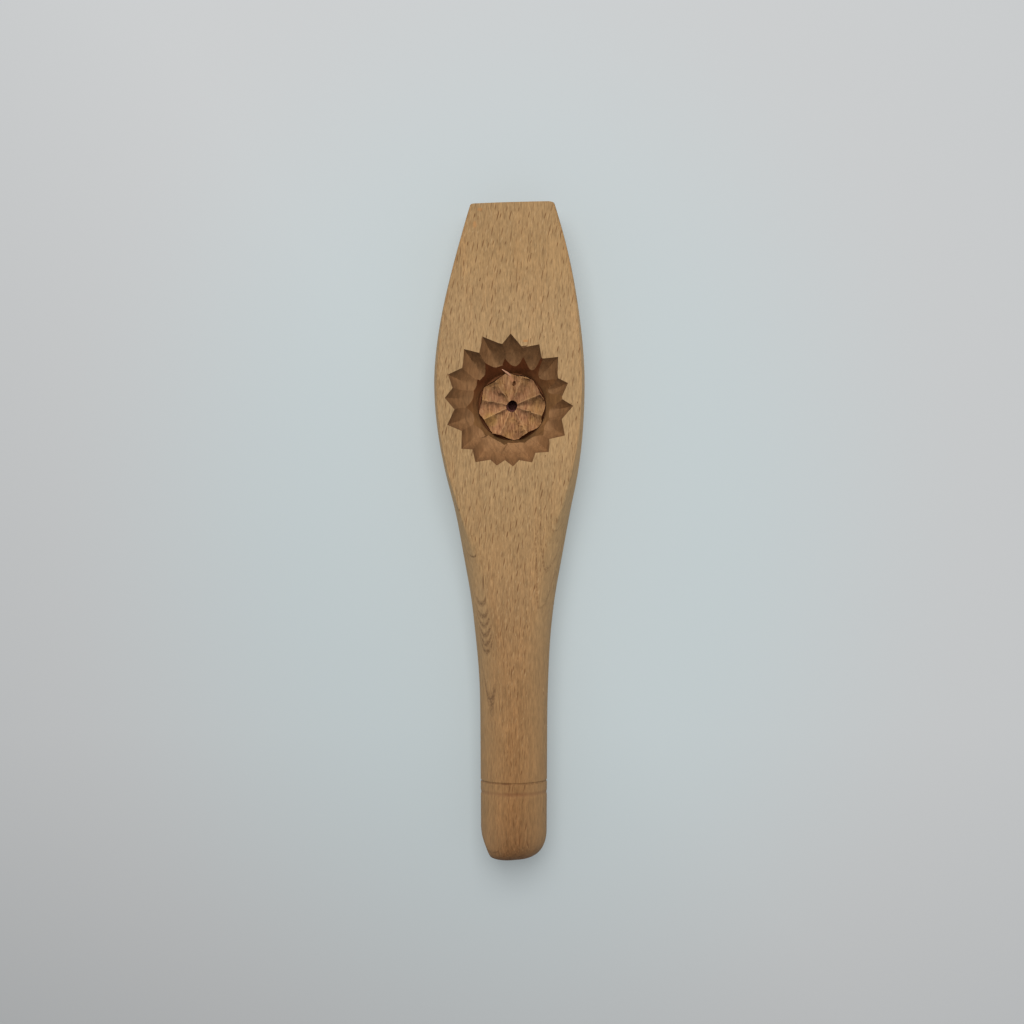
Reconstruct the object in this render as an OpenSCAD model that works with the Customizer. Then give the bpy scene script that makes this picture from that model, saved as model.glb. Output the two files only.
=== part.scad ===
// Cookie mold, cut from one piece of beech.
// The blank is turned round, planed flat on its front and back, and sawn off at the head,
// whose sides are pared narrower towards the saw cut.
// A flower-shaped hollow is carved into the front flat, with a button left standing in it.
// The long axis lies along Y, the sawn end of the head points to +Y, the carved flat faces +Z.

/* [Blank] */
// Length from the sawn end of the head to the tip of the butt
total_length = 260; // [240:1:300]
// Thickness between the front flat and the back flat
thickness = 27; // [25:0.5:34]
// Tilt of the saw cut across the head, in degrees
end_skew = 1.5; // [0:0.5:3]

/* [Head] */
// Half the width of the head where it is sawn off
end_half_width = 16.6; // [15:0.1:19]
// Radius of the turned head there, before its sides are pared down to that width
turned_end_radius = 20.1; // [19.5:0.1:24]
// Growth of the paring towards the sawn end: 1 is even, and more is later
pare_power = 1.5; // [1:0.1:2]
// Mean radius of the two cheeks at their fullest
cheek_radius = 30; // [29.5:0.5:34]
// Distance of the fullest place from the sawn end
cheek_at = 70; // [64:1:80]
// Shape of the swell from the sawn end: 1 is a straight cone, 2 is a round arc
crown_power = 1.6; // [1.3:0.05:2]
// Extra radius of the left cheek, which the right cheek lacks
cheek_lean = 1.4; // [0:0.1:2]
// Length on either side of the fullest place over which that difference fades out
lean_reach = 60; // [40:1:64]

/* [Neck and handle] */
// Radius of the round handle
handle_radius = 13.1; // [11:0.1:15]
// Length of the round handle, from the tip of the butt to the start of the neck
handle_length = 55; // [48:1:70]
// Share of the neck that curves outwards, before it turns into the hollow curve
neck_turn = 0.33; // [0.2:0.01:0.6]
// Length of the rounded butt
butt_length = 13; // [8:0.5:20]
// Shape of the rounded butt: 2 is an ellipse, and more is squarer
butt_power = 2.4; // [2:0.1:4]

/* [Turned rings] */
// Distance of the narrow ring from the tip of the butt
narrow_ring_at = 31.8; // [29.8:0.1:40]
// Width of the narrow ring
narrow_ring_width = 0.9; // [0.5:0.1:2]
// Depth of the narrow ring
narrow_ring_depth = 0.6; // [0.2:0.1:1.5]
// Distance of the wide ring from the tip of the butt
wide_ring_at = 27; // [23:0.1:28]
// Width of the wide ring
wide_ring_width = 2; // [1:0.1:3]
// Depth of the wide ring
wide_ring_depth = 0.5; // [0.2:0.1:1.2]

/* [Flower] */
// Distance of the flower's centre from the sawn end
flower_at = 78; // [70:0.5:90]
// Distance of the flower's centre from the middle of the head, to the right
flower_side = -0.4; // [-1:0.1:0.2]
// Number of flutes round the flower
flute_count = 17; // [14:1:20]
// Mean distance of the flutes' tips from the centre
tip_radius = 25.7; // [23:0.1:25.8]
// Slope of a flute's valley, in degrees below the face
flute_slope = 43; // [38:1:46]
// Angle between the two faces that the V-tool cuts
tool_angle = 112; // [100:1:130]
// Width of the V-tool
tool_width = 15; // [14:0.5:17]

/* [Button] */
// Depth of the well's floor below the face
well_depth = 13.4; // [12.6:0.1:16]
// Radius of the well at its floor
well_radius = 13.6; // [13.2:0.1:14.5]
// Steepness of the well's wall, in degrees
well_steepness = 66; // [62:1:80]
// Place of the well's centre from the flower's centre, to the right
well_side = 1; // [0:0.1:1.2]
// Place of the well's centre from the flower's centre, towards the butt
well_drop = 1.2; // [0:0.1:1.5]
// Depth of the button's top below the face
button_depth = 9.6; // [8.5:0.1:11]
// Radius of the button's top
button_radius = 12.7; // [11:0.1:12.9]
// Steepness of the button's side, in degrees
button_steepness = 80; // [70:1:86]
// Place of the button's centre from the flower's centre, to the right
button_side = 1.4; // [0:0.1:1.6]
// Place of the button's centre from the flower's centre, towards the butt
button_drop = 1.8; // [0:0.1:2]
// Number of petals cut into the button's top
petal_count = 8; // [6:1:10]
// Fall of a petal's valley from the centre of the button to its rim
petal_fall = 1.8; // [0.8:0.1:2.4]
// Diameter of the drilled hole in the middle of the button
hole_diameter = 4.2; // [3:0.1:6]
// Depth of the drilled hole below the face
hole_depth = 17; // [14:0.5:20]

/* [Hidden] */

// Segments of a full turn
$fn = 96;
// Points along the swell of the head, along the neck and round the butt
swell_steps = 28;
neck_steps = 40;
butt_steps = 10;
// Overlap of two solids that become one, and overrun of a cut past a face
lap = 1;
beech = [0.66, 0.53, 0.38];

half_thick = thickness / 2;
widest = cheek_radius + cheek_lean;
cheek_y = total_length - cheek_at;
neck_length = cheek_y - handle_length;

// The tips were marked out by eye, so each one is off the even spacing by some degrees.
tip_wander = [2, 8, 6, 10, 10, 17, 15, 10, 7, 0, -3, -9, -6, -4, -4, 1, -1];
// Each tip also lies a little inside or outside the mean circle.
tip_reach = [0.4, -0.7, 0.1, -1.3, -0.2, 0.4, 0, 0.4, 0.3, 0.3, 1.8, 0.8, 0.1, -0.8, 0, 0.8, 1.1];
// From its tip, each stroke runs some degrees to the left or the right of the centre.
stroke_aim = [5, -8, 6, 4, 14, -1, 8, 10, 0, 6, -6, -3, -1, 3, 0, -5, 6];

// Share of the swell left at a share u of the way down the neck: full, then hollow
function neck_share(u) = u < neck_turn ? 1 - u * u / neck_turn : (1 - u) * (1 - u) / (1 - neck_turn);

// Difference between a cheek and the mean, at the height y above the butt
function lean_at(y) =
    abs(y - cheek_y) > lean_reach ? 0 : cheek_lean * pow(cos(90 * (y - cheek_y) / lean_reach), 2);

// Radii at the height y above the butt, for a side of +1 on the left and -1 on the right
function neck_radius(y, side) =
    handle_radius + (cheek_radius - handle_radius) * neck_share((cheek_y - y) / neck_length) + side * lean_at(y);
function crown_width(y, side) =
    cheek_radius - (cheek_radius - end_half_width) * pow((y - cheek_y) / cheek_at, crown_power) + side * lean_at(y);
function crown_radius(y, side) =
    crown_width(y, side) + (turned_end_radius - end_half_width) * pow((y - cheek_y) / cheek_at, pare_power);

// Outline from a point above a ring's centre to a point below it, as a shallow round-bottomed cut
function ring_points(at, width, depth) =
    [for (a = [-90:30:90]) [handle_radius - depth * cos(a), at + width / 2 * sin(a)]];

// Half of the long section: the axis, the butt, the handle with its rings, the neck and the head
function section(side) = concat(
    [for (i = [0:butt_steps]) let (a = 90 * i / butt_steps)
        [handle_radius * pow(sin(a), 2 / butt_power), butt_length * (1 - pow(cos(a), 2 / butt_power))]],
    ring_points(wide_ring_at, wide_ring_width, wide_ring_depth),
    ring_points(narrow_ring_at, narrow_ring_width, narrow_ring_depth),
    [for (i = [0:neck_steps]) let (y = handle_length + neck_length * i / neck_steps)
        [neck_radius(y, side), y]],
    [for (i = [1:swell_steps]) let (y = cheek_y + cheek_at * i / swell_steps)
        [crown_radius(y, side), y]],
    [[0, total_length]]);

// Half of the outline, seen from the front: clear of the turned form up to the cheek, then the pared side
function outline(side) = concat(
    [[0, -lap], [widest + lap, -lap], [widest + lap, cheek_y]],
    [for (i = [1:swell_steps]) let (y = cheek_y + cheek_at * i / swell_steps)
        [crown_width(y, side), y]],
    [[end_half_width, total_length + lap], [0, total_length + lap]]);

// One side of the turned and pared blank between its flats, lying along Y with the butt at zero
module blank_side(side) {
    intersection() {
        rotate([-90, 0, 0]) rotate_extrude() polygon(section(side));
        translate([0, 0, -half_thick]) linear_extrude(thickness)
            mirror([side > 0 ? 1 : 0, 0]) polygon(outline(side));
    }
}

// The waste beyond the skewed saw cut, which leaves the full length at the right-hand corner
module saw_waste() {
    translate([end_half_width, total_length, 0]) rotate([0, 0, end_skew])
        translate([-2 * widest, 0, -thickness]) cube([3 * widest, 4 * lap, 2 * thickness]);
}

// The turned and planed blank, with its axis moved so that the cheeks are centred on X
module blank() {
    translate([cheek_lean, -total_length / 2, half_thick]) difference() {
        union() {
            blank_side(1);
            blank_side(-1);
        }
        saw_waste();
    }
}

// Moves to the flower's centre on the front face
module at_flower() {
    translate([flower_side, total_length / 2 - flower_at, thickness]) children();
}

// What one stroke of the V-tool removes, from a tip on the face down to the well
module flute(bearing, reach, aim) {
    half_width = tool_width / 2;
    v_height = half_width / tan(tool_angle / 2);
    run = (reach - well_radius + lap) / cos(flute_slope);
    top = well_depth / cos(flute_slope) + lap;
    rotate([0, 0, -bearing]) translate([0, reach, 0]) rotate([90 + flute_slope, 0, aim])
        translate([0, 0, -2 * lap]) linear_extrude(run + 2 * lap)
            polygon([[0, 0], [half_width, v_height], [half_width, top], [-half_width, top], [-half_width, v_height]]);
}

// The ring of flutes, which start at the tips of the flower
module flutes() {
    for (i = [0:flute_count - 1]) let (k = i % len(tip_wander))
        flute(360 * i / flute_count + tip_wander[k], tip_radius + tip_reach[k], stroke_aim[k]);
}

// The round well inside the flutes, wider towards the face
module well() {
    rim_radius = well_radius + well_depth / tan(well_steepness);
    translate([well_side, -well_drop, -well_depth]) cylinder(well_depth, well_radius, rim_radius);
}

// What two strokes remove from the button for one petal, deepest at the rim
module petal() {
    reach = 1.5 * button_radius;
    fall = atan(petal_fall / button_radius);
    half_width = reach * tan(180 / petal_count);
    rise = reach * petal_fall / button_radius;
    rotate([90 - fall, 0, 0]) mirror([0, 0, 1]) linear_extrude(reach)
        polygon([[0, 0], [half_width, rise], [half_width, rise + lap], [-half_width, rise + lap], [-half_width, rise]]);
}

// The button that is left standing in the well
module button() {
    height = well_depth - button_depth + lap;
    foot_radius = button_radius + height / tan(button_steepness);
    translate([button_side, -button_drop, -button_depth]) difference() {
        translate([0, 0, -height]) cylinder(height, foot_radius, button_radius);
        for (i = [0:petal_count - 1]) rotate([0, 0, 360 * i / petal_count]) petal();
    }
}

// The hole that was drilled first, to mark the centre
module centre_hole() {
    translate([button_side, -button_drop, -hole_depth]) cylinder(hole_depth + lap, d = hole_diameter);
}

module mold() {
    color(beech) difference() {
        union() {
            difference() {
                blank();
                at_flower() flutes();
                at_flower() well();
            }
            at_flower() button();
        }
        at_flower() centre_hole();
    }
}

mold();
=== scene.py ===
from math import cos, pi, radians, sin, tan
from types import SimpleNamespace

import bpy
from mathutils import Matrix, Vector


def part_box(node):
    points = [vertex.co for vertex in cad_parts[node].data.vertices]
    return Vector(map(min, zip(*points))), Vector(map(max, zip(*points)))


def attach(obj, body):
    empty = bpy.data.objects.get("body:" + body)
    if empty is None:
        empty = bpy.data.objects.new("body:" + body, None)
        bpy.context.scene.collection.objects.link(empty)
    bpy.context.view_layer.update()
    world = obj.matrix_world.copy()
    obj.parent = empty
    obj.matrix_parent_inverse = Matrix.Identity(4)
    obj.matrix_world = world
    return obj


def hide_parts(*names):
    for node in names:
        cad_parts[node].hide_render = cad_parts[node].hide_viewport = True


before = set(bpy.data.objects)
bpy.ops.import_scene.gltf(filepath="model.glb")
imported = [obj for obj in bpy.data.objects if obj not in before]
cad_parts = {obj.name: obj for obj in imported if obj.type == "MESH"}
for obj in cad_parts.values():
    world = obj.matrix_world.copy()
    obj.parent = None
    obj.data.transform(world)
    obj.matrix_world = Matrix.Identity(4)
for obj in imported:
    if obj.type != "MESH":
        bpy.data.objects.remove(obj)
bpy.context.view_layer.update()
moldLow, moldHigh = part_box("mold")

mm = 0.001
perMetre = 1000.0


class Wire:
    # a node's output that stands in plain Python expressions

    def __init__(self, tree, socket=None):
        self.tree = tree
        self.socket = socket

    def node(self, kind, settings=None, sockets=None, out=0):
        # adds one node: first its settings, then the values or links of its sockets
        made = self.tree.nodes.new(kind)
        for name, value in (settings or {}).items():
            if name == "stops":
                layStops(made.color_ramp, value)
            else:
                setattr(made, name, value)
        for key, value in (sockets or {}).items():
            target = made.inputs[key] if isinstance(key, int) else socketNamed(made.inputs, key)
            for item in value if isinstance(value, list) else [value]:
                if isinstance(item, Wire):
                    self.tree.links.new(item.socket, target)
                else:
                    target.default_value = item
        return Wire(self.tree, made.outputs[out])

    def out(self, name):
        return Wire(self.tree, self.socket.node.outputs[name])

    def math(self, operation, *others):
        # Vector Math as soon as a vector or a colour takes part, else Math
        parts = [self, *others]
        vectors = [isinstance(p, Wire) and p.socket.type in ("VECTOR", "RGBA") for p in parts]
        if not any(vectors):
            return self.node("ShaderNodeMath", {"operation": operation}, dict(enumerate(parts)))
        if operation == "MULTIPLY" and not all(vectors):
            vector, factor = parts if vectors[0] else parts[::-1]
            return self.node("ShaderNodeVectorMath", {"operation": "SCALE"}, {0: vector, "Scale": factor})
        return self.node("ShaderNodeVectorMath", {"operation": operation}, dict(enumerate(parts)))

    def __add__(self, other):
        return self.math("ADD", other)

    def __radd__(self, other):
        return self.math("ADD", other)

    def __sub__(self, other):
        return self.math("SUBTRACT", other)

    def __rsub__(self, other):
        return self.node("ShaderNodeMath", {"operation": "SUBTRACT"}, {0: other, 1: self})

    def __mul__(self, other):
        return self.math("MULTIPLY", other)

    def __rmul__(self, other):
        return self.math("MULTIPLY", other)

    def __truediv__(self, other):
        return self.math("DIVIDE", other)

    def __rtruediv__(self, other):
        return self.node("ShaderNodeMath", {"operation": "DIVIDE"}, {0: other, 1: self})

    def __pow__(self, other):
        return self.math("POWER", other)

    def __lt__(self, other):
        return self.math("LESS_THAN", other)

    def __gt__(self, other):
        return self.math("GREATER_THAN", other)

    def __abs__(self):
        return self.math("ABSOLUTE")

    def least(self, other):
        return self.math("MINIMUM", other)

    def most(self, other):
        return self.math("MAXIMUM", other)

    def share(self, start, end, smooth=False):
        # 0 at start, 1 at end and held beyond them
        kind = "SMOOTHSTEP" if smooth else "LINEAR"
        return self.node("ShaderNodeMapRange", {"interpolation_type": kind, "clamp": True},
                         {"Value": self, "From Min": start, "From Max": end})

    def split(self):
        parts = self.node("ShaderNodeSeparateXYZ", sockets={0: self})
        return parts, parts.out("Y"), parts.out("Z")

    def vector(self, x, y, z):
        return self.node("ShaderNodeCombineXYZ", sockets={"X": x, "Y": y, "Z": z})

    def mix(self, factor, first, second):
        return self.node("ShaderNodeMix", {"data_type": "RGBA"},
                         {"Factor_Float": factor, "A_Color": first, "B_Color": second}, out=2)

    def noise(self, vector, detail=2.0, roughness=0.5):
        # noise about zero, roughly between -1 and 1
        plain = self.node("ShaderNodeTexNoise", {"normalize": True}, {
            "Vector": vector, "Scale": 1.0, "Detail": detail, "Roughness": roughness})
        return plain * 2.0 - 1.0


def socketNamed(inputs, key):
    for socket in inputs:
        if key in (socket.identifier, socket.name):
            return socket
    raise KeyError(key)


def layStops(ramp, stops):
    while len(ramp.elements) < len(stops):
        ramp.elements.new(1.0)
    for element, (place, colour) in zip(ramp.elements, stops):
        element.position = place
        element.color = colour


def paint(red, green, blue):
    # a colour written as it shows on a screen, 0 to 255, turned into linear light
    shades = [shade / 255 for shade in (red, green, blue)]
    return (*[s / 12.92 if s < 0.04045 else ((s + 0.055) / 1.055) ** 2.4 for s in shades], 1.0)


def hump(value, middle, reach):
    # 1 at the middle, falling smoothly to 0 at the reach on either side
    return ((abs(value - middle) / reach).least(1.0) * (pi / 2)).math("COSINE") ** 2.0


def tangent(degrees):
    return (degrees * (pi / 180)).math("TANGENT")


def softLeast(first, second, blend):
    # the lesser of two lengths, rounded off where they meet
    near = (blend - abs(first - second)).most(0.0) / blend
    return first.least(second) - near * near * blend * 0.25


# The blank, in millimetres. Heights along it count from the tip of the butt.
blankSizes = {
    "total length": (moldHigh.y - moldLow.y) * perMetre,
    "thickness": (moldHigh.z - moldLow.z) * perMetre,
    "axis side": 1.4,  # the turning axis lies right of the outline's middle
    "end half width": 16.4,
    "turned end radius": 20.1,
    "pare power": 1.5,
    "cheek radius": 29.95,
    "cheek at": 70.0,  # from the sawn end
    "crown power": 1.6,
    "crown drift": 0.15,
    "crown drift foot": 196.0,
    "crown drift top": 225.0,
    "cheek lean": 1.4,
    "lean reach": 60.0,
    "belly at": 122.0,
    "belly reach": 22.0,
    "belly press": 0.15,
    "belly swell": 0.35,
    "cheek fullness": 0.42,  # how much wider the flat is than on a round section
    "fullness above": 109.0,
    "fullness below": 58.0,
    "left fullness": 30.0,
    "left neck at": 150.0,
    "left neck reach": 40.0,
    "left neck fullness": 0.38,
    "handle radius": 13.35,
    "handle length": 55.0,
    "handle taper": 0.25,
    "taper top": 60.0,
    "taper foot": 15.0,
    "handle drift": 0.35,
    "drift top": 95.0,
    "drift foot": 68.0,
    "neck turn": 0.33,
    "butt length": 13.0,
    "butt power": 2.6,
    "left butt power": 4.0,
    "butt facet": 8.85,  # distance of the left facet from the axis at the butt's tip
    "butt facet slope": 0.41,
    "facet ease": 1.0,
    "edge ease": 0.7,
    "neck ease": 1.8,
    "narrow ring at": 31.45,
    "narrow ring width": 1.3,
    "narrow ring depth": 0.3,
    "wide ring at": 27.0,
    "wide ring width": 2.8,
    "wide ring depth": 0.17,
    "ring wobble": 0.12,
    "saw peak": 15.3,
    "saw gap": 0.07,
    "saw slope": 0.012,
    "saw bow": 0.0006,
    "saw score": 0.05,
    "right corner wear": 0.12,
    "left corner at": 13.5,
    "left corner wear": 0.07,
}
# Stretches of the blank, each with its end and how many rings of the mesh it takes
stationZones = [
    (13.0, 26), (25.2, 12), (28.8, 26), (30.8, 8), (33.0, 26), (60.0, 22), (200.0, 70), (262.0, 36)]
quarterZones = [0.3, 0.75]  # shares of a quarter's points on the side and up to the flat
edgeBand = 1.3  # half the width of the band at an edge that takes the points in between
pointsAround = 176
tipOpening = 0.3  # share of a ring's height by which the butt stays open at its tip


def zoneShares(zones):
    # the end of each stretch, and the shares of the tube's height at which it starts and ends
    total = sum(count for _, count in zones)
    shares, done = [], 0
    for reach, count in zones:
        shares.append((reach, done / total, (done + count) / total))
        done += count
    return shares


def tubeOf(wire, around, segments, fan=0):
    # A closed upright tube, 1 in radius and height, with its points' place: x, y and share of the way up
    tube = wire.node("GeometryNodeMeshCylinder", {"fill_type": "TRIANGLE_FAN" if fan else "NGON"}, {
        "Vertices": around, "Side Segments": segments, "Fill Segments": max(fan, 1),
        "Radius": 1.0, "Depth": 1.0})
    x, y, z = wire.node("GeometryNodeInputPosition").split()
    return tube, x, y, z + 0.5


def turnBlank(wire, size):
    # A closed tube with the heights and radii of the turned form, and the half width of its pared outline
    rings = sum(count for _, count in stationZones)
    tube, turnX, turnY, height = tubeOf(wire, pointsAround, rings)
    start, along = 0.0, 0.0
    _, _, buttEnd = zoneShares(stationZones)[0]
    for reach, first, last in zoneShares(stationZones):
        if start > 0.0:
            along = height.share(first, last) * (reach - start) + along
        start = reach
    # The rounded butt, squarer on its left
    swing = height.share(-tipOpening / rings, buttEnd) * (pi / 2)
    left = turnX.share(0.3, -0.9, smooth=True)
    power = size["butt power"] + (size["left butt power"] - size["butt power"]) * left
    along = along + size["butt length"] * (1.0 - swing.math("COSINE").most(0.0) ** (2.0 / power))
    # The neck, first full and then hollow, and the swell of the head
    cheekHeight = size["total length"] - size["cheek at"]
    down = ((cheekHeight - along) / (cheekHeight - size["handle length"])).share(0.0, 1.0)
    full = 1.0 - down * down / size["neck turn"]
    hollow = (1.0 - down) ** 2.0 / (1.0 - size["neck turn"])
    inFull = down < size["neck turn"]
    neck = hollow + (full - hollow) * inFull
    up = ((along - cheekHeight) / size["cheek at"]).most(0.0)
    width = size["handle radius"] + (size["cheek radius"] - size["handle radius"]) * neck
    width = width - size["handle taper"] * along.share(size["taper top"], size["taper foot"])
    width = width - (size["cheek radius"] - size["end half width"]) * up ** size["crown power"]
    width = width - size["cheek lean"] * hump(along, cheekHeight, size["lean reach"]) * turnX.math("SIGN")
    width = width + size["belly swell"] * hump(along, size["belly at"], size["belly reach"])
    wobble = wire.noise(wire.vector(turnX, turnY, along * 0.2), detail=1.0) * size["ring wobble"]
    for ring in ("narrow ring", "wide ring"):
        groove = hump(along + wobble, size[ring + " at"], size[ring + " width"] * 0.5)
        width = width - size[ring + " depth"] * groove
    width = width * (swing.math("SINE") ** (2.0 / power))
    radius = width + (size["turned end radius"] - size["end half width"]) * up ** size["pare power"]
    return tube, width, radius, along, turnX, turnY


def planeBlank(wire, size, turned):
    # The section: a turned circle, pared at its sides and planed to two flats, with most points at the edges
    tube, width, radius, along, turnX, turnY = turned
    half = size["thickness"] * 0.5
    belly = hump(along, size["belly at"], size["belly reach"])
    cheekHeight = size["total length"] - size["cheek at"]
    # How far the section is pressed towards the flats, which makes them wider
    fullBelow = size["fullness below"] + size["left fullness"] * (turnX < 0.0)
    fullReach = fullBelow + (size["fullness above"] - fullBelow) * (along > cheekHeight)
    press = 1.0 - size["belly press"] * belly + size["cheek fullness"] * hump(along, cheekHeight, fullReach)
    onLeft = hump(along, size["left neck at"], size["left neck reach"]) * turnX.share(0.0, -0.2)
    press = press + size["left neck fullness"] * onLeft
    # Where the points of a quarter lie: on the side, in the band at the flat's edge and on the flat
    across = (radius * radius - (half / press) ** 2.0).most(0.01).math("SQRT")
    corner = half.math("ARCTAN2", across).least(radians(80))
    spread = edgeBand / radius.most(5.0)
    pared = (width / radius.most(0.1)).least(1.0).math("ARCCOSINE")
    before = corner - spread
    before = before + (pared - spread * 0.6 - before) * (radius - width).share(0.0, 0.6)
    after = corner + spread
    side, ease = quarterZones
    planed = (radius - half).share(0.0, 0.8)
    before = side * pi / 2 + (before - side * pi / 2) * planed
    after = ease * pi / 2 + (after - ease * pi / 2) * planed
    quarter = abs(turnX).least(1.0).math("ARCCOSINE") * (2 / pi)
    angle = quarter.share(0.0, side) * before
    angle = angle + quarter.share(side, ease) * (after - before)
    angle = angle + quarter.share(ease, 1.0) * (pi / 2 - after)
    # How far the surface lies from the axis in that direction, with its edges eased
    toSide = angle.math("COSINE").most(0.0)
    toFlat = angle.math("SINE")
    reach = radius / (toSide * toSide + toFlat * toFlat / (press * press)).math("SQRT")
    reach = softLeast(reach, width / toSide.most(0.02), ((radius - width) * 0.5).most(0.001))
    eased = size["edge ease"] + size["neck ease"] * hump(along, size["belly at"], size["belly reach"] * 2.0)
    eased = (eased * ((radius - half) / 2.0).share(0.0, 1.0)).most(0.001)
    reach = softLeast(reach, half / toFlat.most(0.05), eased)
    facet = (size["butt facet"] + size["butt facet slope"] * along) / toSide.most(0.02)
    facet = facet + (turnX > 0.0) * size["total length"]  # out of the way on the right side
    reach = softLeast(reach, facet, size["facet ease"])
    drift = size["handle drift"] * along.share(size["drift top"], size["drift foot"], smooth=True)
    crownShare = along.share(size["crown drift foot"], size["crown drift top"], smooth=True)
    drift = drift - size["crown drift"] * crownShare
    x = reach * toSide * turnX.math("SIGN") + size["axis side"] + drift
    z = reach * toFlat * turnY.math("SIGN") + half
    y = along - size["total length"] * 0.5
    blank = wire.node("GeometryNodeFlipFaces", sockets={"Mesh": moved(wire, tube, x, y, z)})
    return tagged(wire, blank, plainCut)


# What made each face of the mold, kept on it for the material
plainCut, fluteCut, wellCut, petalCut, sideCut, pitCut, holeCut, sawCut, splinterCut = range(9)


def tagged(wire, geometry, cut):
    return wire.node("GeometryNodeStoreNamedAttribute", {"data_type": "FLOAT", "domain": "FACE"},
                     {"Geometry": geometry, "Name": "cut", "Value": float(cut)})


def block(wire, size, counts):
    return wire.node("GeometryNodeMeshCube", sockets={
        "Size": size, "Vertices X": counts[0], "Vertices Y": counts[1], "Vertices Z": counts[2]})


def moved(wire, geometry, x, y, z):
    return wire.node("GeometryNodeSetPosition", sockets={
        "Geometry": geometry, "Position": wire.vector(x, y, z)})


def sawKerf(wire, size):
    # The waste beyond the sawn end, whose near face is slightly bowed and scored by the saw
    wide, thick, tall = 60.0, 6.0, 40.0
    waste = block(wire, (wide, 1.0, tall), (81, 2, 101))
    x, y, z = wire.node("GeometryNodeInputPosition").split()
    off = (size["saw peak"] - x).most(0.0)
    worn = (x - size["saw peak"]).most(0.0) ** 2.0 * size["right corner wear"]
    worn = worn + (x * -1.0 - size["left corner at"]).most(0.0) ** 2.0 * size["left corner wear"]
    score = wire.noise(wire.vector(x * 0.05, 0.0, z * 1.6 + x * 0.2), detail=1.0) * size["saw score"]
    face = size["total length"] * 0.5 - size["saw gap"]
    face = face - off * size["saw slope"] - off * off * size["saw bow"] - worn + score + (y > 0.0) * thick
    return tagged(wire, moved(wire, waste, x, face, z + size["thickness"] * 0.5), sawCut)


# The flower, in millimetres and degrees, from the middle of the mold's outline
flowerSizes = {
    "flute length": 14.0,
    "tool half width": 7.5,
    "flute lowest": -11.5,
    "valley keen": 5.0,  # length of the keen valley behind a tip, before the gouge rounds it
    "valley rounding": 0.4,
    "well x": 1.0,
    "well y": 50.3,
    "well lean x": -0.07,
    "well lean y": 0.14,
    "well depth": 13.4,
    "well radius": 13.25,
    "well steepness": 61.0,
    "well waves": 0.2,
    "button x": 1.0,
    "button y": 50.2,
    "button depth": 9.6,
    "button radius": 12.9,
    "button steepness": 80.0,
    "button waves": 0.15,
    "button wander": 0.9,
    "petal length": 16.0,
    "petal half width": 8.0,
    "petal lowest": -9.0,
    "petal slope": 0.19,
    "petal wall": 0.6,
    "petal rounding": 0.22,
    "pit x": 1.9,
    "pit y": 59.2,
    "pit sink": 1.3,
    "splinter x": 1.5,
    "splinter y": 61.0,
    "splinter depth": 12.5,
    "splinter to left": 4.5,
    "splinter to end": 3.9,
    "splinter rise": 1.9,
    "splinter arch": 0.35,
    "hole radius": 1.95,
    "hole depth": 17.0,
    "hole lean": -0.06,
    "cut waves": 0.12,
    "cut fibres": 0.07,
    "torn fibres": 0.34,
}
# Every stroke is placed one by one. A flute has its bearing clockwise from the sawn end, its tip's distance
# from the flower's centre, its aim off that centre, half the angle between its edges and the tool's roll.
flowerCentre = (-0.4, 52.0)
fluteStrokes = [
    (2, 26.1, 5, 39.5, -5), (29, 25.0, 0, 43, -12), (49, 25.8, 6, 41, 0), (74, 24.3, 4, 46, 0),
    (95, 25.5, 14, 40, 0), (122, 26.1, -1, 46, 0), (142, 25.7, 8, 48, 0), (159, 26.1, 10, 49, 0),
    (176, 26.0, 0, 48, 0), (190, 26.0, 6, 52, 0), (208, 27.5, -6, 47, 0), (224, 26.5, -3, 46, 0),
    (248, 25.8, -1, 44, 0), (272, 24.9, 3, 51, 0), (293, 25.7, 0, 48, 0), (319, 26.5, -5, 40, 0),
    (338, 26.8, 6, 40, 0)]
# Valleys of the petals and the strokes along the button's side, anticlockwise from the right
petalTurns = [0, 45, 98, 150, 186, 225, 272, 325]
sideStrokes = [
    (32, 12.2), (80, 12.3), (123, 11.9), (169, 11.95), (214, 12.0), (255, 12.25), (302, 12.2), (346, 12.4)]
fluteKind, petalKind, sideKind = range(3)
vTool = {"fall": 43.0, "angle": 112.0}  # degrees: a flute's valley below the face, and the tool's opening
# Where the flutes run out into the well
lobeCentre, lobeRadius, lobeDepth = Vector((0.75, 51.0)), 15.4, 9.4
# Half the width of a cutter's body: it opens behind the tip and closes towards its end, inside the well
cutterTaper = {"tip": 0.8, "opening": 1.3, "end at": 11.0, "end": 5.0, "closing": 1.6, "least": 2.5}
cutterLead = 1.5  # how far a cutter reaches ahead of its tip
lap = 1.0  # how far the well's cutter reaches past the face, and the button below the well's floor
fluteGrid, petalGrid = (49, 45), (61, 61)  # points of a cutter across and along


def toolSlopes():
    # The fall of a flute's valley, and the rise of its wall for each millimetre across its plan
    fall = radians(vTool["fall"])
    return tan(fall), 1.0 / (tan(radians(vTool["angle"] / 2)) * cos(fall))


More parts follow.
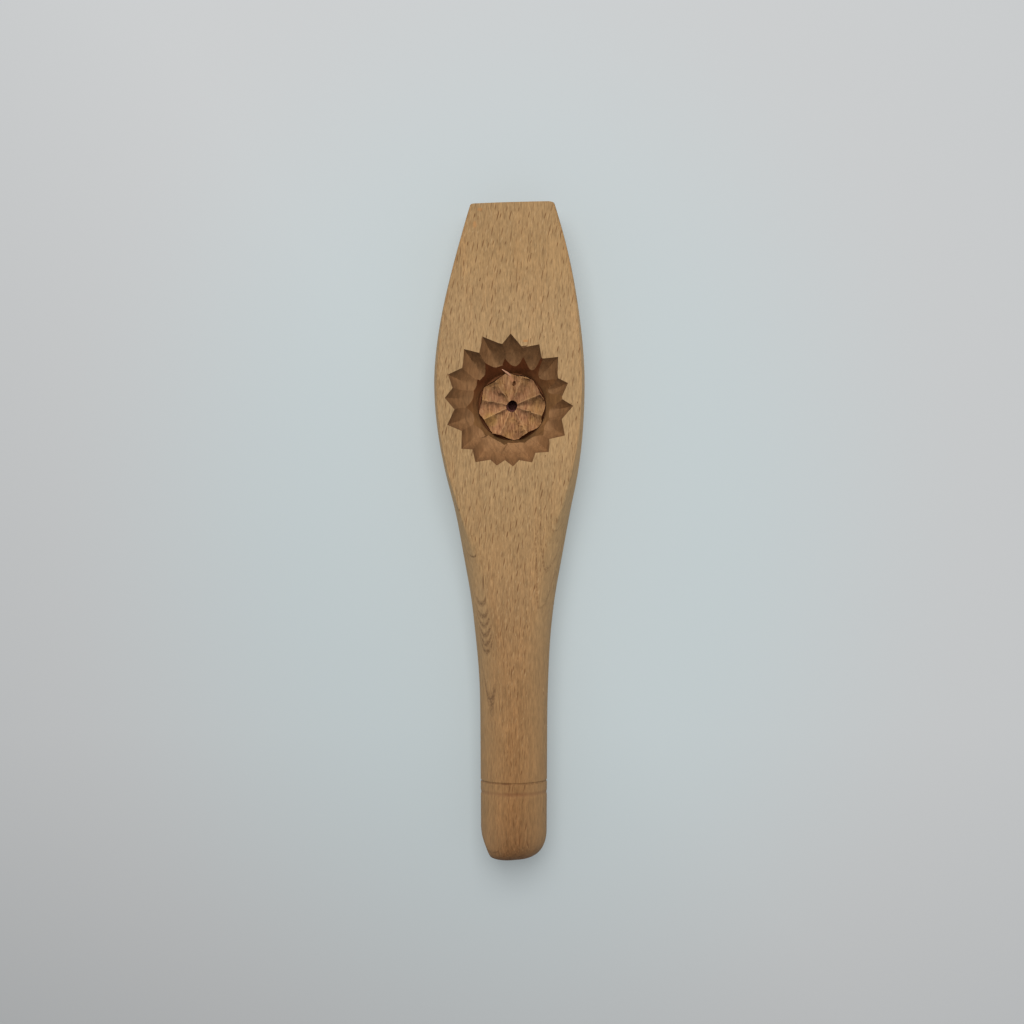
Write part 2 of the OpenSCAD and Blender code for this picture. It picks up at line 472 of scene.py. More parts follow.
def strokePoints():
    # One point for each stroke, with its kind, its roll and turn, and how wide and deep it is
    face = blankSizes["thickness"]
    middle = Vector((flowerSizes["button x"], flowerSizes["button y"], face - flowerSizes["button depth"]))
    slope, wall = toolSlopes()
    points = []
    for bearing, reach, aim, half, roll in fluteStrokes:
        a = radians(bearing)
        tip = Vector((flowerCentre[0] + reach * sin(a), flowerCentre[1] + reach * cos(a), face))
        run = (tip.to_2d() - lobeCentre).length - lobeRadius
        spread = (tan(radians(half)) * wall / slope, 1.0, lobeDepth / (run * slope))
        points.append((tip, fluteKind, (0.0, radians(roll), radians(aim) - a), spread))
    for petal in petalTurns:
        points.append((middle, petalKind, (0.0, 0.0, radians(petal) + pi / 2), (1.0, 1.0, 1.0)))
    for side, distance in sideStrokes:
        a = radians(side)
        place = middle + Vector((cos(a), sin(a), 0)) * distance
        points.append((place, sideKind, (0.0, 0.0, a - pi / 2), (1.0, 1.0, 1.0)))
    places, kinds, turns, spreads = zip(*points)
    mesh = bpy.data.meshes.new("strokePoints")
    mesh.from_pydata(places, [], [])
    mesh.attributes.new("kind", "INT", "POINT").data.foreach_set("value", kinds)
    for name, triples in (("turn", turns), ("spread", spreads)):
        flat = [number for triple in triples for number in triple]
        mesh.attributes.new(name, "FLOAT_VECTOR", "POINT").data.foreach_set("vector", flat)
    return mesh


def vStroke(wire, length, halfWidth, slope, wall, keen, rounding, lowest, grid):
    # What one stroke of a V-tool removes: from the origin it runs down towards -Y, but not below the lowest
    body = block(wire, (1.0, 1.0, 1.0), (*grid, 2))
    over, above = 0.8, 1.6  # the cutter's rim and its top above the face
    x, y, z = wire.node("GeometryNodeInputPosition").split()
    run = (0.5 - y) * (length + cutterLead) - cutterLead
    opening = run.most(0.0) * cutterTaper["opening"] + cutterTaper["tip"]
    closing = (cutterTaper["end at"] - run) * cutterTaper["closing"] + cutterTaper["end"]
    across = x * 2.0 * opening.least(halfWidth).least(closing.most(cutterTaper["least"]))
    soft = (run - keen).most(0.0) * rounding + 0.02
    rise = (across * across + soft * soft).math("SQRT") - soft
    floor = (rise * wall - run * slope).least(over).most(lowest)
    z = floor + (above - floor) * (z > 0.0)
    return moved(wire, body, across, run * -1.0, z)


def named(wire, kind, name):
    return wire.node("GeometryNodeInputNamedAttribute", {"data_type": kind}, {"Name": name})


def placed(wire, points, kind, cutter):
    same = wire.node("FunctionNodeCompare", {"data_type": "INT", "operation": "EQUAL"},
                     {"A_INT": named(wire, "INT", "kind"), "B_INT": kind})
    turn = wire.node("FunctionNodeEulerToRotation", sockets={0: named(wire, "FLOAT_VECTOR", "turn")})
    return wire.node("GeometryNodeInstanceOnPoints", sockets={
        "Points": points, "Selection": same, "Instance": cutter, "Rotation": turn,
        "Scale": named(wire, "FLOAT_VECTOR", "spread")})


def boolean(wire, operation, first, others):
    sockets = {"Mesh 2": others + ([first] if operation == "UNION" else [])}
    if operation == "DIFFERENCE":
        sockets["Mesh 1"] = first
    return wire.node("GeometryNodeMeshBoolean", {"operation": operation, "solver": "MANIFOLD"}, sockets)


def wellCutter(wire, size):
    # A cone, wider towards the face, with the slight facets of the gouge
    tube, x, y, share = tubeOf(wire, 160, 26)
    up = share * (size["well depth"] + lap)
    waves = wire.noise(wire.vector(x * 3.0, y * 3.0, up * 0.12)) * size["well waves"]
    radius = size["well radius"] + up / tangent(size["well steepness"]) + waves * up.share(0.0, 2.0)
    middleX = size["well x"] + size["well lean x"] * up
    middleY = size["well y"] + size["well lean y"] * up
    base = size["thickness"] - size["well depth"]
    return tagged(wire, moved(wire, tube, x * radius + middleX, y * radius + middleY, up + base), wellCut)


def buttonBlock(wire, size, points):
    # The button, wider at its foot, with its petals, the strokes that shape its side and a torn pit
    tube, x, y, share = tubeOf(wire, 168, 12, fan=20)
    under = (1.0 - share) * (size["well depth"] - size["button depth"] + lap)
    lean = tangent(size["button steepness"])
    radius = size["button radius"] + under / lean
    top = size["thickness"] - size["button depth"]
    tube = moved(wire, tube, x * radius + size["button x"], y * radius + size["button y"], top - under)
    petals = placed(wire, points, petalKind, tagged(wire, vStroke(
        wire, size["petal length"], size["petal half width"], size["petal slope"], size["petal wall"],
        0.0, size["petal rounding"], size["petal lowest"], petalGrid), petalCut))
    # The waste outside one stroke along the side, which leans as the side does
    wide, thick, tall, sunk = 16.0, 4.0, 8.0, 0.35
    waste = block(wire, (wide, 1.0, 1.0), (41, 2, 20))
    x, y, z = wire.node("GeometryNodeInputPosition").split()
    z = (z - sunk) * tall
    waves = wire.noise(wire.vector(x * 0.4, z * 0.3, 0.5), detail=1.0) * size["button waves"]
    waste = moved(wire, waste, x, z * -1.0 / lean + waves + (y > 0.0) * thick, z)
    sides = placed(wire, points, sideKind, tagged(wire, waste, sideCut))
    cuts = [petals, sides, tornPit(wire, size, top)]
    return boolean(wire, "DIFFERENCE", tagged(wire, tube, sideCut), cuts)


def tornPit(wire, size, top):
    # Where a fibre was torn out near the button's upper rim
    pit = wire.node("GeometryNodeMeshIcoSphere", sockets={"Radius": 1.0, "Subdivisions": 4})
    place = wire.node("GeometryNodeInputPosition")
    x, y, z = place.split()
    wide, long, deep, slant = 0.9, 1.15, 1.1, 0.3
    rough = 1.0 + wire.noise(place * 1.7) * 0.35
    pitX = x * rough * wide + y * slant + size["pit x"]
    pitY = y * rough * long + size["pit y"]
    return tagged(wire, moved(wire, pit, pitX, pitY, z * rough * deep + top - size["pit sink"]), pitCut)


def splinter(wire, size):
    # A sliver that still hangs on the button's rim and reaches over the groove
    sliver, x, y, run = tubeOf(wire, 12, 24)
    thin, crooked = 0.55, 0.12  # how much it thins towards its tip, and how far it strays sideways
    wideX, wideY, thick = 0.2, 0.34, 0.22  # half its width, as x and y, and half its thickness
    fat = 1.0 - run * run * thin
    arch = (run * pi).math("SINE") * size["splinter arch"]
    sideways = wire.noise(wire.vector(run * 3.0, 0.0, 0.0), detail=1.0) * crooked
    sliverX = size["splinter x"] - run * size["splinter to left"] + x * fat * wideX + sideways
    sliverY = size["splinter y"] + run.most(0.0) ** 0.7 * size["splinter to end"] + x * fat * wideY
    sliverZ = size["thickness"] - size["splinter depth"] + run * size["splinter rise"] + arch
    sliverZ = sliverZ - y * fat * thick
    return tagged(wire, moved(wire, sliver, sliverX, sliverY, sliverZ), splinterCut)


# The drilled hole leans a little, and a shallower bite of the drill lies at its lower left.
# Each bite has its offset from the button's middle, its widening and its floor's height over the hole's.
drillBites = [(0.25, 0.3, 1.0, 0.0), (-0.2, -0.25, 1.07, 5.4)]


def drill(wire, size):
    bites = []
    height, upright = 10.0, 7.4  # of a bite, and where its axis crosses the button's top
    for offX, offY, widen, floor in drillBites:
        hole, x, y, share = tubeOf(wire, 48, 24)
        up = share * height
        rough = wire.noise(wire.vector(x * 1.1, y * 1.1, up * 0.5 + floor)) * 0.08 + 1.0
        radius = size["hole radius"] * rough * widen
        lean = (up + floor - upright) * size["hole lean"]
        holeX = x * radius + size["button x"] + offX + lean
        holeY = y * radius + size["button y"] + offY + lean
        base = size["thickness"] - size["hole depth"] + floor
        bites.append(tagged(wire, moved(wire, hole, holeX, holeY, up + base), holeCut))
    return bites


def roughened(wire, size, geometry):
    # Tool marks and torn fibres in the hollow, which all run along the grain
    x, y, z = wire.node("GeometryNodeInputPosition").split()
    normal = wire.node("GeometryNodeInputNormal")
    # How far the marks reach: from the flower's centre, below the face, and from the button's middle
    flowerReach, deepest, buttonReach = 26.9, 17.6, 13.2
    depth = size["thickness"] - z
    away = (x - flowerCentre[0]) ** 2.0 + (y - flowerCentre[1]) ** 2.0
    carved = depth.share(0.02, 0.9) * depth.share(deepest, 17.2) * (away < flowerReach ** 2)
    off = ((x - size["button x"]) ** 2.0 + (y - size["button y"]) ** 2.0).math("SQRT")
    onButton = (off < buttonReach) * depth.share(9.0, 9.5)
    waves = wire.noise(wire.vector(x * 0.5, y * 0.35, z * 0.5), detail=1.0) * size["cut waves"]
    fibres = wire.noise(wire.vector(x * 1.9, y * 0.22, z * 0.6)) * size["cut fibres"]
    torn = wire.noise(wire.vector(x * 1.5 + 40.0, y * 0.3, z * 0.4), detail=3.0, roughness=0.6)
    push = carved * (waves + fibres + torn * size["torn fibres"] * onButton)
    # The petals' edges wander, but not at the hole or at the button's rim
    wander = wire.noise(wire.vector(x * 0.55, y * 0.4, 4.0)) * size["button wander"]
    wander = wander * onButton * off.share(12.1, 10.6) * off.share(2.4, 4.4)
    return wire.node("GeometryNodeSetPosition", sockets={
        "Geometry": geometry, "Offset": normal * push + wire.vector(wander, wander * 0.8, 0.0)})


def newTree(name, sizes):
    tree = bpy.data.node_groups.new(name, "GeometryNodeTree")
    tree.interface.new_socket(name="Geometry", in_out="INPUT", socket_type="NodeSocketGeometry")
    for key in sizes:
        tree.interface.new_socket(name=key, in_out="INPUT", socket_type="NodeSocketFloat")
    tree.interface.new_socket(name="Material", in_out="INPUT", socket_type="NodeSocketMaterial")
    tree.interface.new_socket(name="Geometry", in_out="OUTPUT", socket_type="NodeSocketGeometry")
    start = tree.nodes.new("NodeGroupInput")
    wires = {socket.name: Wire(tree, socket) for socket in start.outputs if socket.name}
    return tree, wires


def moldTree(sizes):
    tree, size = newTree("cookieMold", sizes)
    wire = Wire(tree)
    points = size["Geometry"]
    blank = planeBlank(wire, size, turnBlank(wire, size))
    flutes = placed(wire, points, fluteKind, tagged(wire, vStroke(
        wire, size["flute length"], size["tool half width"], *toolSlopes(), size["valley keen"],
        size["valley rounding"], size["flute lowest"], fluteGrid), fluteCut))
    carved = boolean(wire, "DIFFERENCE", blank, [flutes, wellCutter(wire, size)])
    carved = boolean(wire, "UNION", carved, [buttonBlock(wire, size, points), splinter(wire, size)])
    carved = boolean(wire, "DIFFERENCE", carved, [*drill(wire, size), sawKerf(wire, size)])
    carved = wire.node("GeometryNodeRealizeInstances", sockets={"Geometry": carved})
    carved = wire.node("GeometryNodeSetShadeSmooth", {"domain": "FACE"},
                       {"Geometry": carved, "Shade Smooth": True})
    crease = wire.node("GeometryNodeInputMeshEdgeAngle") > radians(27)  # what shows as a sharp edge
    carved = wire.node("GeometryNodeSetShadeSmooth", {"domain": "EDGE"},
                       {"Geometry": carved, "Selection": crease, "Shade Smooth": False})
    carved = roughened(wire, size, carved)
    carved = wire.node("GeometryNodeTransform", sockets={"Geometry": carved, "Scale": (mm, mm, mm)})
    carved = wire.node("GeometryNodeSetMaterial", sockets={
        "Geometry": carved, "Material": size["Material"]})
    result = tree.nodes.new("NodeGroupOutput")
    tree.links.new(carved.socket, result.inputs[0])
    return tree


def grown(tree, layout, values, name):
    # runs the tree once and keeps its result as a plain mesh
    maker = bpy.data.objects.new("maker", layout)
    bpy.context.scene.collection.objects.link(maker)
    modifier = maker.modifiers.new("tree", "NODES")
    modifier.node_group = tree
    for item in tree.interface.items_tree:
        if item.in_out == "INPUT" and item.name in values:
            modifier[item.identifier] = values[item.name]
    evaluated = maker.evaluated_get(bpy.context.evaluated_depsgraph_get())
    mesh = bpy.data.meshes.new_from_object(evaluated)
    maker.modifiers.remove(modifier)
    bpy.data.objects.remove(maker)
    mesh.name = name
    piece = bpy.data.objects.new(name, mesh)
    bpy.context.scene.collection.objects.link(piece)
    return piece


# The wood, with colours as they show on a screen and lengths in millimetres
beechLook = {
    "along": [(0.0, paint(129, 91, 57)), (0.08, paint(142, 103, 64)), (0.18, paint(149, 111, 71)),
              (0.3, paint(154, 117, 77)), (0.4, paint(159, 124, 84)), (0.49, paint(163, 129, 88)),
              (0.57, paint(167, 134, 93)), (0.83, paint(169, 136, 95)), (0.92, paint(164, 130, 88)),
              (0.99, paint(162, 129, 88))],
    "bands": 0.08,
    "streaks": 0.2,
    "fibres": 0.6,
    "blotches": 0.08,
    "warmth": 0.35,
    "left shade": 0.08,
    "right gleam": 0.04,
    "ring tilt": (37.0, 50.0),
    "rings": [27.4, 24.6, 19.3, 16.35, 15.75, 15.35, 14.95, 14.6, 14.3, 13.15, 11.9, 10.1, 7.6, 4.7,
              2.1, -2.9, -5.7, -8.2, -11.3, -14.4, -17.9, -21.6, -25.3],
    "right rings": [19.9, 17.3, 16.1],
    "right ring tilt": 50.0,
    "ray tilt": 42.0,
    "ring line": paint(96, 62, 36),
    "wide ring": paint(128, 84, 54),
    "fleck": paint(98, 58, 30),
    "pale fleck": paint(192, 160, 118),
    # Cells across, along and into the rays, then the least and the most of half a ray's length and width
    "pale rays": ((1.2, 3.6, 2.2), (0.6, 1.8), (0.08, 0.15)),
    "faint rays": ((0.8, 2.5, 1.8), (0.5, 1.3), (0.07, 0.13)),
    "strong rays": ((1.5, 5.2, 2.6), (1.0, 3.1), (0.1, 0.17)),
    "pale ray share": 0.6,
    "faint ray share": 0.45,
    "ray share": 0.7,
    # the flanks' colour, dulled by hands and painted lighter as light, and the eased edges' painted shade
    "flank": paint(153, 132, 99),
    "edge": paint(146, 96, 54),
    # painted shade at the flute tips
    "flute tip": paint(104, 73, 46),
    "flute": paint(124, 89, 57),
    "flute end": paint(144, 107, 72),
    "well": paint(138, 100, 62),
    # painted shade on the well's upper wall
    "well shade": paint(98, 54, 28),
    "groove": paint(104, 62, 34),
    "button": paint(158, 112, 78),
    "golden button": paint(170, 128, 76),
    "golden patch": (-7.6, 44.9),
    "button streak": paint(100, 62, 36),
    "button ridge": paint(192, 152, 106),
    # painted shade on the button's side
    "button side": paint(92, 54, 32),
    "torn pit": paint(112, 72, 42),
    "torn strip": paint(176, 122, 88),
    "splinter": paint(196, 148, 118),
    # painted shade in the hole
    "hole": paint(86, 50, 44),
    "saw face": paint(140, 104, 70),
    "pore": paint(96, 64, 40),
    "roughness": 0.62,
    "bump strength": 0.5,
    "gloss": 0.12,
}
# Marks of their own: place from the middle of the outline, reach across and along, colour and share
faceMarks = [
    ((6.3, 75.2), (1.3, 0.6), paint(184, 122, 66), 0.7),
    ((-11.6, 126.8), (1.3, 0.8), paint(186, 126, 72), 0.5),
    ((-13.6, 120.8), (0.9, 1.7), paint(186, 126, 72), 0.45),
    ((-10.3, -19.2), (0.34, 4.4), paint(92, 58, 32), 0.9)]


def grained(wire, x, y, z, wide, long, detail=2.0, roughness=0.5, shift=0.0):
    # noise drawn out along the grain, in patches this wide and long
    return wire.noise(wire.vector(x / wide + shift, y / long, z / wide), detail, roughness)


def woodPlace(wire):
    # Where a point lies on the mold and in the tree, how it faces, what cut it and how the wood varies there
    at = SimpleNamespace()
    at.x, at.y, at.z = (wire.node("ShaderNodeTexCoord").out("Object") * perMetre).split()
    at.depth = blankSizes["thickness"] - at.z
    at.facingX, at.facingY, at.facingZ = wire.node("ShaderNodeTexCoord").out("Normal").split()
    at.cut = wire.node("ShaderNodeAttribute", {"attribute_name": "cut"}).out("Fac")
    spot = at.x, at.y, at.z
    # Distances across the rings and along them, for a pith that lies to the lower right
    first, last = beechLook["ring tilt"]
    tilt = (at.y.share(0.0, -70.0) * (last - first) + first) * (pi / 180)
    side = at.x - blankSizes["axis side"]
    height = at.z - blankSizes["thickness"] / 2
    bend = grained(wire, *spot, 8.0, 30.0, detail=1.0) * 0.25
    at.ringed = height * tilt.math("SINE") - side * tilt.math("COSINE") + bend
    at.rayed = side * tilt.math("SINE") + height * tilt.math("COSINE")
    tilt = radians(beechLook["right ring tilt"])
    at.rightRinged = side * cos(tilt) + height * sin(tilt)
    at.bands = wire.noise(wire.vector(at.ringed * 0.55, 0.0, at.y * 0.004))
    at.broad = grained(wire, *spot, 1.8, 24.0)
    at.fine = grained(wire, *spot, 0.6, 3.6, detail=3.0, roughness=0.6)
    at.blotch = grained(wire, *spot, 9.0, 14.0, detail=1.0)
    at.broken = grained(wire, *spot, 0.9, 0.9, detail=1.0).share(-0.35, 0.25)
    return at


def cutBy(at, kind):
    return abs(at.cut - float(kind)) < 0.5


def spindles(wire, across, along, into, cell, reach, width):
    # Short marks that are pointed at both ends, one to a cell: the rays of the wood where they are cut
    place = wire.vector(across / cell[0], along / cell[1], into / cell[2])
    nearest = wire.node("ShaderNodeTexVoronoi", {"voronoi_dimensions": "3D", "feature": "F1"}, {
        "Vector": place, "Scale": 1.0, "Randomness": 0.95})
    offAcross, offAlong, offInto = (place - nearest.out("Position")).split()
    first, second, third = nearest.out("Color").split()
    offAlong = offAlong * cell[1]
    offAcross = abs(offAcross * cell[0] - offAlong * second * 0.16)
    offAlong = offAlong / (first * (reach[1] - reach[0]) + reach[0])
    offInto = offInto / (cell[2] * 0.6)
    fat = (1.0 - offAlong * offAlong - offInto * offInto) * (second * (width[1] - width[0]) + width[0])
    return (fat - offAcross).share(0.0, 0.07) * (third * 0.7 + 0.3)


def ringLines(across, rings):
    # The thin dark line at the end of each year's growth
    lines = None
    for reach in rings:
        line = abs(across - reach).share(0.17, 0.04)
        lines = line if lines is None else lines.most(line)
    return lines


def soundWood(wire, at):
    # Colour along the mold, bands of growth, fine fibres and rays
    look = beechLook
    half = blankSizes["total length"] / 2
    colour = wire.node("ShaderNodeValToRGB", {"stops": look["along"]}, {"Fac": at.y.share(-half, half)})
    tone = 1.0 + at.bands * look["bands"] + at.broad * look["streaks"]
    tone = tone + at.fine * look["fibres"] + at.blotch * look["blotches"]
    cheek = 28.0
    # painted shade towards the left, and a painted highlight on the right cheek
    tone = tone - (at.x.least(0.0) / cheek) ** 2.0 * look["left shade"]
    tone = tone + at.x.share(cheek / 2, cheek) * at.y.share(0.0, 40.0) * look["right gleam"]
    colour = colour * tone
    warm = grained(wire, at.x, at.y, at.z, 4.0, 26.0, shift=9.0).share(0.0, 0.6)
    colour = wire.mix(warm * look["warmth"], colour, colour * wire.vector(1.07, 0.95, 0.86))
    tilt = radians(look["ray tilt"])
    crossing = (at.facingX * sin(tilt) + at.facingZ * cos(tilt)).share(0.995, 0.93)
    pale = spindles(wire, at.rayed, at.y, at.ringed, *look["pale rays"]) * look["pale ray share"]
    colour = wire.mix(pale * crossing * at.y.share(-half, -40.0).most(0.3), colour, look["pale fleck"])
    faint = spindles(wire, at.rayed + 31.0, at.y, at.ringed, *look["faint rays"]) * look["faint ray share"]
    strong = spindles(wire, at.rayed + 57.0, at.y, at.ringed, *look["strong rays"]).share(0.1, 0.8)
    flecks = faint.most(strong) * crossing
    return wire.mix(flecks * look["ray share"], colour, look["fleck"]), flecks


def growthLines(at):
    # Lines of growth show where a flank runs along them, broken up by the pores
    onFlank = at.facingZ.share(0.92, 0.8) * at.y.share(30.0, 5.0) * abs(at.rayed).share(5.5, 2.5)
    left = ringLines(at.ringed, beechLook["rings"]) * onFlank * (at.broken * 0.7 + 0.3)
    right = ringLines(at.rightRinged, beechLook["right rings"]) * (at.x > 9.0)
    right = right * at.y.share(10.0, 0.0) * at.y.share(-40.0, -25.0) * at.broken
    return left.most(right * 0.6)


def handledWoodAndPaintedLight(wire, at, colour):
    # Dirt in the turned rings, worn off in places
    look = beechLook
    height = at.y + blankSizes["total length"] / 2
    patchy = wire.noise(wire.vector(at.x / 3.0, 3.0, at.z)).share(-0.5, 0.1)
    narrow = hump(height, blankSizes["narrow ring at"], 0.5) * patchy * at.x.share(3.0, -1.0).most(0.35)
    colour = wire.mix(narrow * 0.8, colour, look["fleck"])
    patchy = wire.noise(wire.vector(at.x / 4.0, 8.0, at.z)).share(-0.6, 0.2)
    wide = hump(height, blankSizes["wide ring at"] + 0.3, 1.3) * patchy
    colour = wire.mix(wide * 0.6, colour, look["wide ring"])
    for (markX, markY), (reachX, reachY), paintOver, share in faceMarks:
        off = ((at.x - markX) / reachX) ** 2.0 + ((at.y - markY) / reachY) ** 2.0
        colour = wire.mix(off.share(1.0, 0.1) * (at.z > 20.0) * share, colour, paintOver)
    # Flanks dulled by hands and painted lighter as light, the eased edges painted darker and more orange as
    # shade, and end grain that drinks in more dirt
    dulledAndLit = abs(at.facingX).share(0.15, 0.9) * at.y.share(45.0, 10.0) * 0.35
    colour = wire.mix(dulledAndLit, colour, look["flank"])
    # painted light: turned and planed surfaces lighter the more they face sideways
    colour = colour * (1.0 + abs(at.facingX) * cutBy(at, plainCut) * 0.25)
    # painted shade: the eased edges of the head darker and more orange
    edge = at.facingZ.share(1.0, 0.97) * at.facingZ.share(0.7, 0.93) * at.y.share(50.0, 70.0)
    colour = wire.mix(edge * (at.broken * 0.6 + 0.4) * 0.38, colour, look["edge"])
    return colour * (1.0 - at.facingY * at.facingY * cutBy(at, plainCut) * 0.33)


def fluteWood(wire, at, carvedTone):
    # Painted shade makes them darkest at the tips, and painted light paler on the walls that face the light
    look = beechLook
    flute = wire.mix(at.depth.share(2.5, 9.0), look["flute"], look["flute end"])
    flute = wire.mix(at.depth.share(2.2, 0.2), flute, look["flute tip"])
    toEnd = at.y - flowerCentre[1]
    # painted light and shade: darker towards the upper end, paler on walls that face up the mold and towards
    # the right
    flute = flute * carvedTone * (1.08 - toEnd * 0.0095 + at.facingY * 0.08 + at.x * 0.003)
    # painted light: in the upper left, walls facing right are paler and those facing left darker
    upperLeft = at.x.share(2.0, -8.0) * at.y.share(54.0, 61.0)
    flute = flute * (1.0 + at.facingX * upperLeft * 0.65)
    return wire.mix(ringLines(at.ringed, look["rings"]) * 0.25, flute, look["ring line"])


def wellWood(wire, at, carvedTone):
    # Painted shade darkens it towards the upper end and in the groove at its foot, and it is darker on its
    # lower side
    look = beechLook
    offX = at.x - flowerSizes["well x"]
    offY = at.y - flowerSizes["well y"]
    # painted shade: the share of the shaded colour, most at the upper end and on the left
    shadedShare = (offY * 0.065 - offX * 0.02).share(-0.1, 0.85)
    well = wire.mix(shadedShare, look["well"], look["well shade"]) * (1.0 - offY.share(-8.0, -14.0) * 0.36)
    return wire.mix(at.depth.share(12.2, 13.2), well, look["groove"]) * carvedTone


def petalEdges(wire, x, y):
    # Pale crests between the petals, and dark lines of painted shade along their lower sides, both made
    # ragged by the grain
    offX = x - flowerSizes["button x"]
    offY = y - flowerSizes["button y"] + wire.noise(wire.vector(x / 1.3, y / 4.0, 1.5), detail=3.0) * 1.2
    off = (offX * offX + offY * offY).math("SQRT")
    crests = lowerShades = None
    for turn, following in zip(petalTurns, petalTurns[1:] + [petalTurns[0] + 360]):
        a = radians((turn + following) / 2)
        away = (offY * cos(a) - offX * sin(a)) * (1 if cos(a) > 0 else -1)
        ahead = offX * cos(a) + offY * sin(a) > 1.0
        crest = abs(away - 0.1).share(0.36, 0.1) * ahead
        # painted shade: a dark line just below each crest, strongest where the crest runs across
        lowerShade = abs(away + 0.5).share(0.42, 0.1) * ahead * abs(cos(a)) * off.share(11.0, 7.0)
        crests = crest if crests is None else crests.most(crest)
        lowerShades = lowerShade if lowerShades is None else lowerShades.most(lowerShade)
    return crests, lowerShades


def buttonWood(wire, at, carvedTone, streaks):
    # Streaked along the grain, golden in patches, with painted shade where a petal faces away from the
    # light, towards the upper end and on its steep parts
    look = beechLook
    x, y = at.x, at.y
    tint = wire.noise(wire.vector(x / 5.0, y / 5.0, 2.5), detail=1.0).share(-0.2, 0.5) * 0.7
    goldX, goldY = look["golden patch"]
    golden = ((x - goldX) ** 2.0 + (y - goldY) ** 2.0).share(12.0, 3.0)
    button = wire.mix(tint.most(golden), look["button"], look["golden button"])
    button = wire.mix(streaks.share(0.0, 0.4) * 0.7, button, look["button streak"])
    button = wire.mix(streaks.share(-0.1, -0.45) * 0.6, button, look["button ridge"])
    crest, lowerShade = petalEdges(wire, x, y)
    patchy = streaks.share(-0.3, 0.15)
    button = wire.mix(crest * patchy * 0.5, button, look["button ridge"])
    button = wire.mix(lowerShade * patchy * 0.3, button, look["button streak"])
    offX = x - flowerSizes["well x"]
    offY = y - flowerSizes["well y"]
    # painted light and shade on the petals, by how they face and where they lie
    lit = 1.03 - offY * 0.016 - offX.most(0.0) * 0.007 + at.facingY * 0.5 - abs(at.facingY) * 0.54
    # painted shade: the petals' steep parts take the button side's dark colour
    button = wire.mix(at.facingZ.share(0.75, 0.55), button * lit * carvedTone, look["button side"])
    stripAt, stripSlant = 34.35, 0.55  # the pale strip from the torn pit to the splinter
    strip = abs(x + y * stripSlant - stripAt).share(0.75, 0.35) * y.share(59.6, 60.2) * y.share(62.6, 62.0)
    return wire.mix(strip * 0.7, button, look["torn strip"])


def carvedWood(wire, at, colour):
    # The hollow, whose cuts are darker than the sanded face
    look = beechLook
    x, y, z = at.x, at.y, at.z
    cutFibres = wire.noise(wire.vector(x / 1.1 + 20.0, y / 4.5, z / 2.4), detail=3.0, roughness=0.6)
    carvedTone = 1.0 + cutFibres * 0.5 + at.fine * 0.2 + at.bands * 0.16 + at.blotch * 0.2
    streaks = wire.noise(wire.vector(x / 0.45 + 5.0, y / 3.4, z / 3.0), detail=2.0, roughness=0.65)
    button = buttonWood(wire, at, carvedTone, streaks)
    # painted shade: the button's side dark, darker deep in the groove and where it faces the upper end
    side = wire.mix(at.depth.share(10.5, 13.0), look["button side"], look["groove"])
    side = side * (1.0 - at.facingY.most(0.0) * 0.7)
    pores = grained(wire, x, y, z, 0.3, 2.0, detail=1.0).share(0.25, 0.6)
    cuts = {
        fluteCut: fluteWood(wire, at, carvedTone),
        wellCut: wellWood(wire, at, carvedTone),
        petalCut: button,
        sideCut: wire.mix(at.facingZ.share(0.75, 0.55), button, side),
        pitCut: wire.mix(streaks.share(-0.3, 0.3), look["torn pit"], look["button streak"]),
        # painted shade: the hole's walls dark
        holeCut: look["hole"],
        splinterCut: look["splinter"],
        sawCut: wire.mix(pores * 0.7, look["saw face"], look["pore"]) * (1.0 + at.bands * 0.1),
    }
    for kind, cutColour in cuts.items():
        colour = wire.mix(cutBy(at, kind), colour, cutColour)
    return colour


def beechMaterial():
    material = bpy.data.materials.new("sandedBeech")
    material.use_nodes = True
    tree = material.node_tree
    wire = Wire(tree)
    shader = tree.nodes["Principled BSDF"]
    at = woodPlace(wire)
    colour, flecks = soundWood(wire, at)
    lines = growthLines(at)
    colour = wire.mix(lines, colour, beechLook["ring line"])
    colour = carvedWood(wire, at, handledWoodAndPaintedLight(wire, at, colour))
    tree.links.new(colour.socket, shader.inputs["Base Color"])
    rough = beechLook["roughness"] + at.fine * 0.06 + flecks * 0.1 + (at.cut > 0.5) * 0.12
    tree.links.new(rough.socket, shader.inputs["Roughness"])
    relief = at.fine * 0.03 + at.broad * 0.02 - flecks * 0.06 - lines * 0.02
    bump = wire.node("ShaderNodeBump", sockets={
        "Strength": beechLook["bump strength"], "Distance": mm, "Height": relief})
    tree.links.new(bump.socket, shader.inputs["Normal"])
    shader.inputs["Specular IOR Level"].default_value = beechLook["gloss"]
    return material


print("carving the mold")
beech = beechMaterial()
sizes = {**blankSizes, **flowerSizes}
mold = grown(moldTree(sizes), strokePoints(), {**sizes, "Material": beech}, "carvedMold")
print("mold faces", len(mold.data.polygons), "points", len(mold.data.vertices))
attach(mold, "root")
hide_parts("mold")

# The table and the studio
studio = {
    "near table": paint(197, 207, 209),
    "far table": paint(201, 203, 204),
    "table size": 4.0,
    # painted shade on the table
    "left fall": 0.2,  # how much darker the table gets to the left
    "near fall": 0.1,  # and on the butt's side
    "table roughness": 0.7,
    "table gloss": 0.2,
    "shadow thinning": 0.33,
    "camera place": (0.00102, 0.0082, 0.770),
    "lens": 66.7,
    "sky": 0.4,
    "lamp place": (-0.06, 0.48, 1.1),
    "lamp size": 0.8,
    "lamp power": 10.1,
}


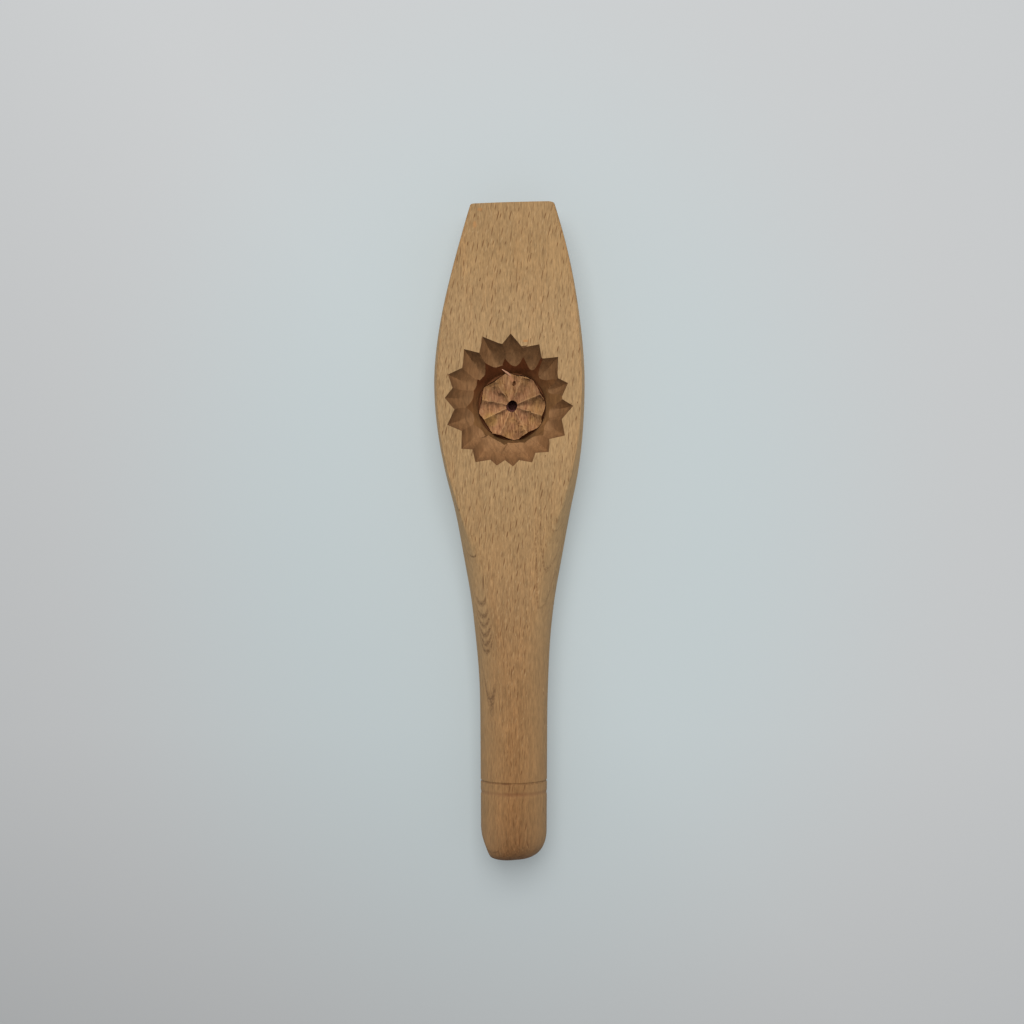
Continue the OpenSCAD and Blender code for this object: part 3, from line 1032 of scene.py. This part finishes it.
def layTable():
    half = studio["table size"] / 2
    mesh = bpy.data.meshes.new("table")
    corners = [(-half, -half, 0), (half, -half, 0), (half, half, 0), (-half, half, 0)]
    mesh.from_pydata(corners, [], [(0, 1, 2, 3)])
    table = bpy.data.objects.new("table", mesh)
    bpy.context.scene.collection.objects.link(table)
    material = bpy.data.materials.new("paleTable")
    material.use_nodes = True
    shader = material.node_tree.nodes["Principled BSDF"]
    wire = Wire(material.node_tree)
    x, y, _ = wire.node("ShaderNodeTexCoord").out("Object").split()
    away = (x * x + y * y * 0.6).math("SQRT")
    colour = wire.mix(away.share(0.07, 0.2, smooth=True), studio["near table"], studio["far table"])
    # painted shade: the table darker to the lower left and on the butt's side
    shade = (x + y * 0.7).share(0.0, -0.4) * studio["left fall"] + y.share(-0.08, -0.2) * studio["near fall"]
    colour = colour * (1.0 - shade)
    material.node_tree.links.new(colour.socket, shader.inputs["Base Color"])
    # The camera alone sees the table's shadows thinned out
    bright = wire.node("ShaderNodeEmission", sockets={"Color": colour, "Strength": 1.0})
    thinned = wire.node("ShaderNodeLightPath").out("Is Camera Ray") * studio["shadow thinning"]
    plain = Wire(wire.tree, shader.outputs[0])
    seen = wire.node("ShaderNodeMixShader", sockets={0: thinned, 1: plain, 2: bright})
    material.node_tree.links.new(seen.socket, material.node_tree.nodes["Material Output"].inputs["Surface"])
    shader.inputs["Roughness"].default_value = studio["table roughness"]
    shader.inputs["Specular IOR Level"].default_value = studio["table gloss"]
    mesh.materials.append(material)


def setLights():
    world = bpy.data.worlds.new("studio")
    bpy.context.scene.world = world
    world.use_nodes = True
    world.node_tree.nodes["Background"].inputs["Color"].default_value = (1, 1, 1, 1)
    world.node_tree.nodes["Background"].inputs["Strength"].default_value = studio["sky"]
    data = bpy.data.lights.new("window", "AREA")
    data.size = studio["lamp size"]
    data.energy = studio["lamp power"]
    lamp = bpy.data.objects.new("window", data)
    bpy.context.scene.collection.objects.link(lamp)
    lamp.location = studio["lamp place"]
    lamp.rotation_euler = (-Vector(studio["lamp place"])).to_track_quat("-Z", "Y").to_euler()


def setCamera():
    data = bpy.data.cameras.new("camera")
    data.lens = studio["lens"]
    data.sensor_width = 36
    camera = bpy.data.objects.new("camera", data)
    bpy.context.scene.collection.objects.link(camera)
    camera.location = studio["camera place"]
    bpy.context.scene.camera = camera


print("setting the studio")
layTable()
setLights()
setCamera()
bpy.context.scene.view_settings.view_transform = "Standard"
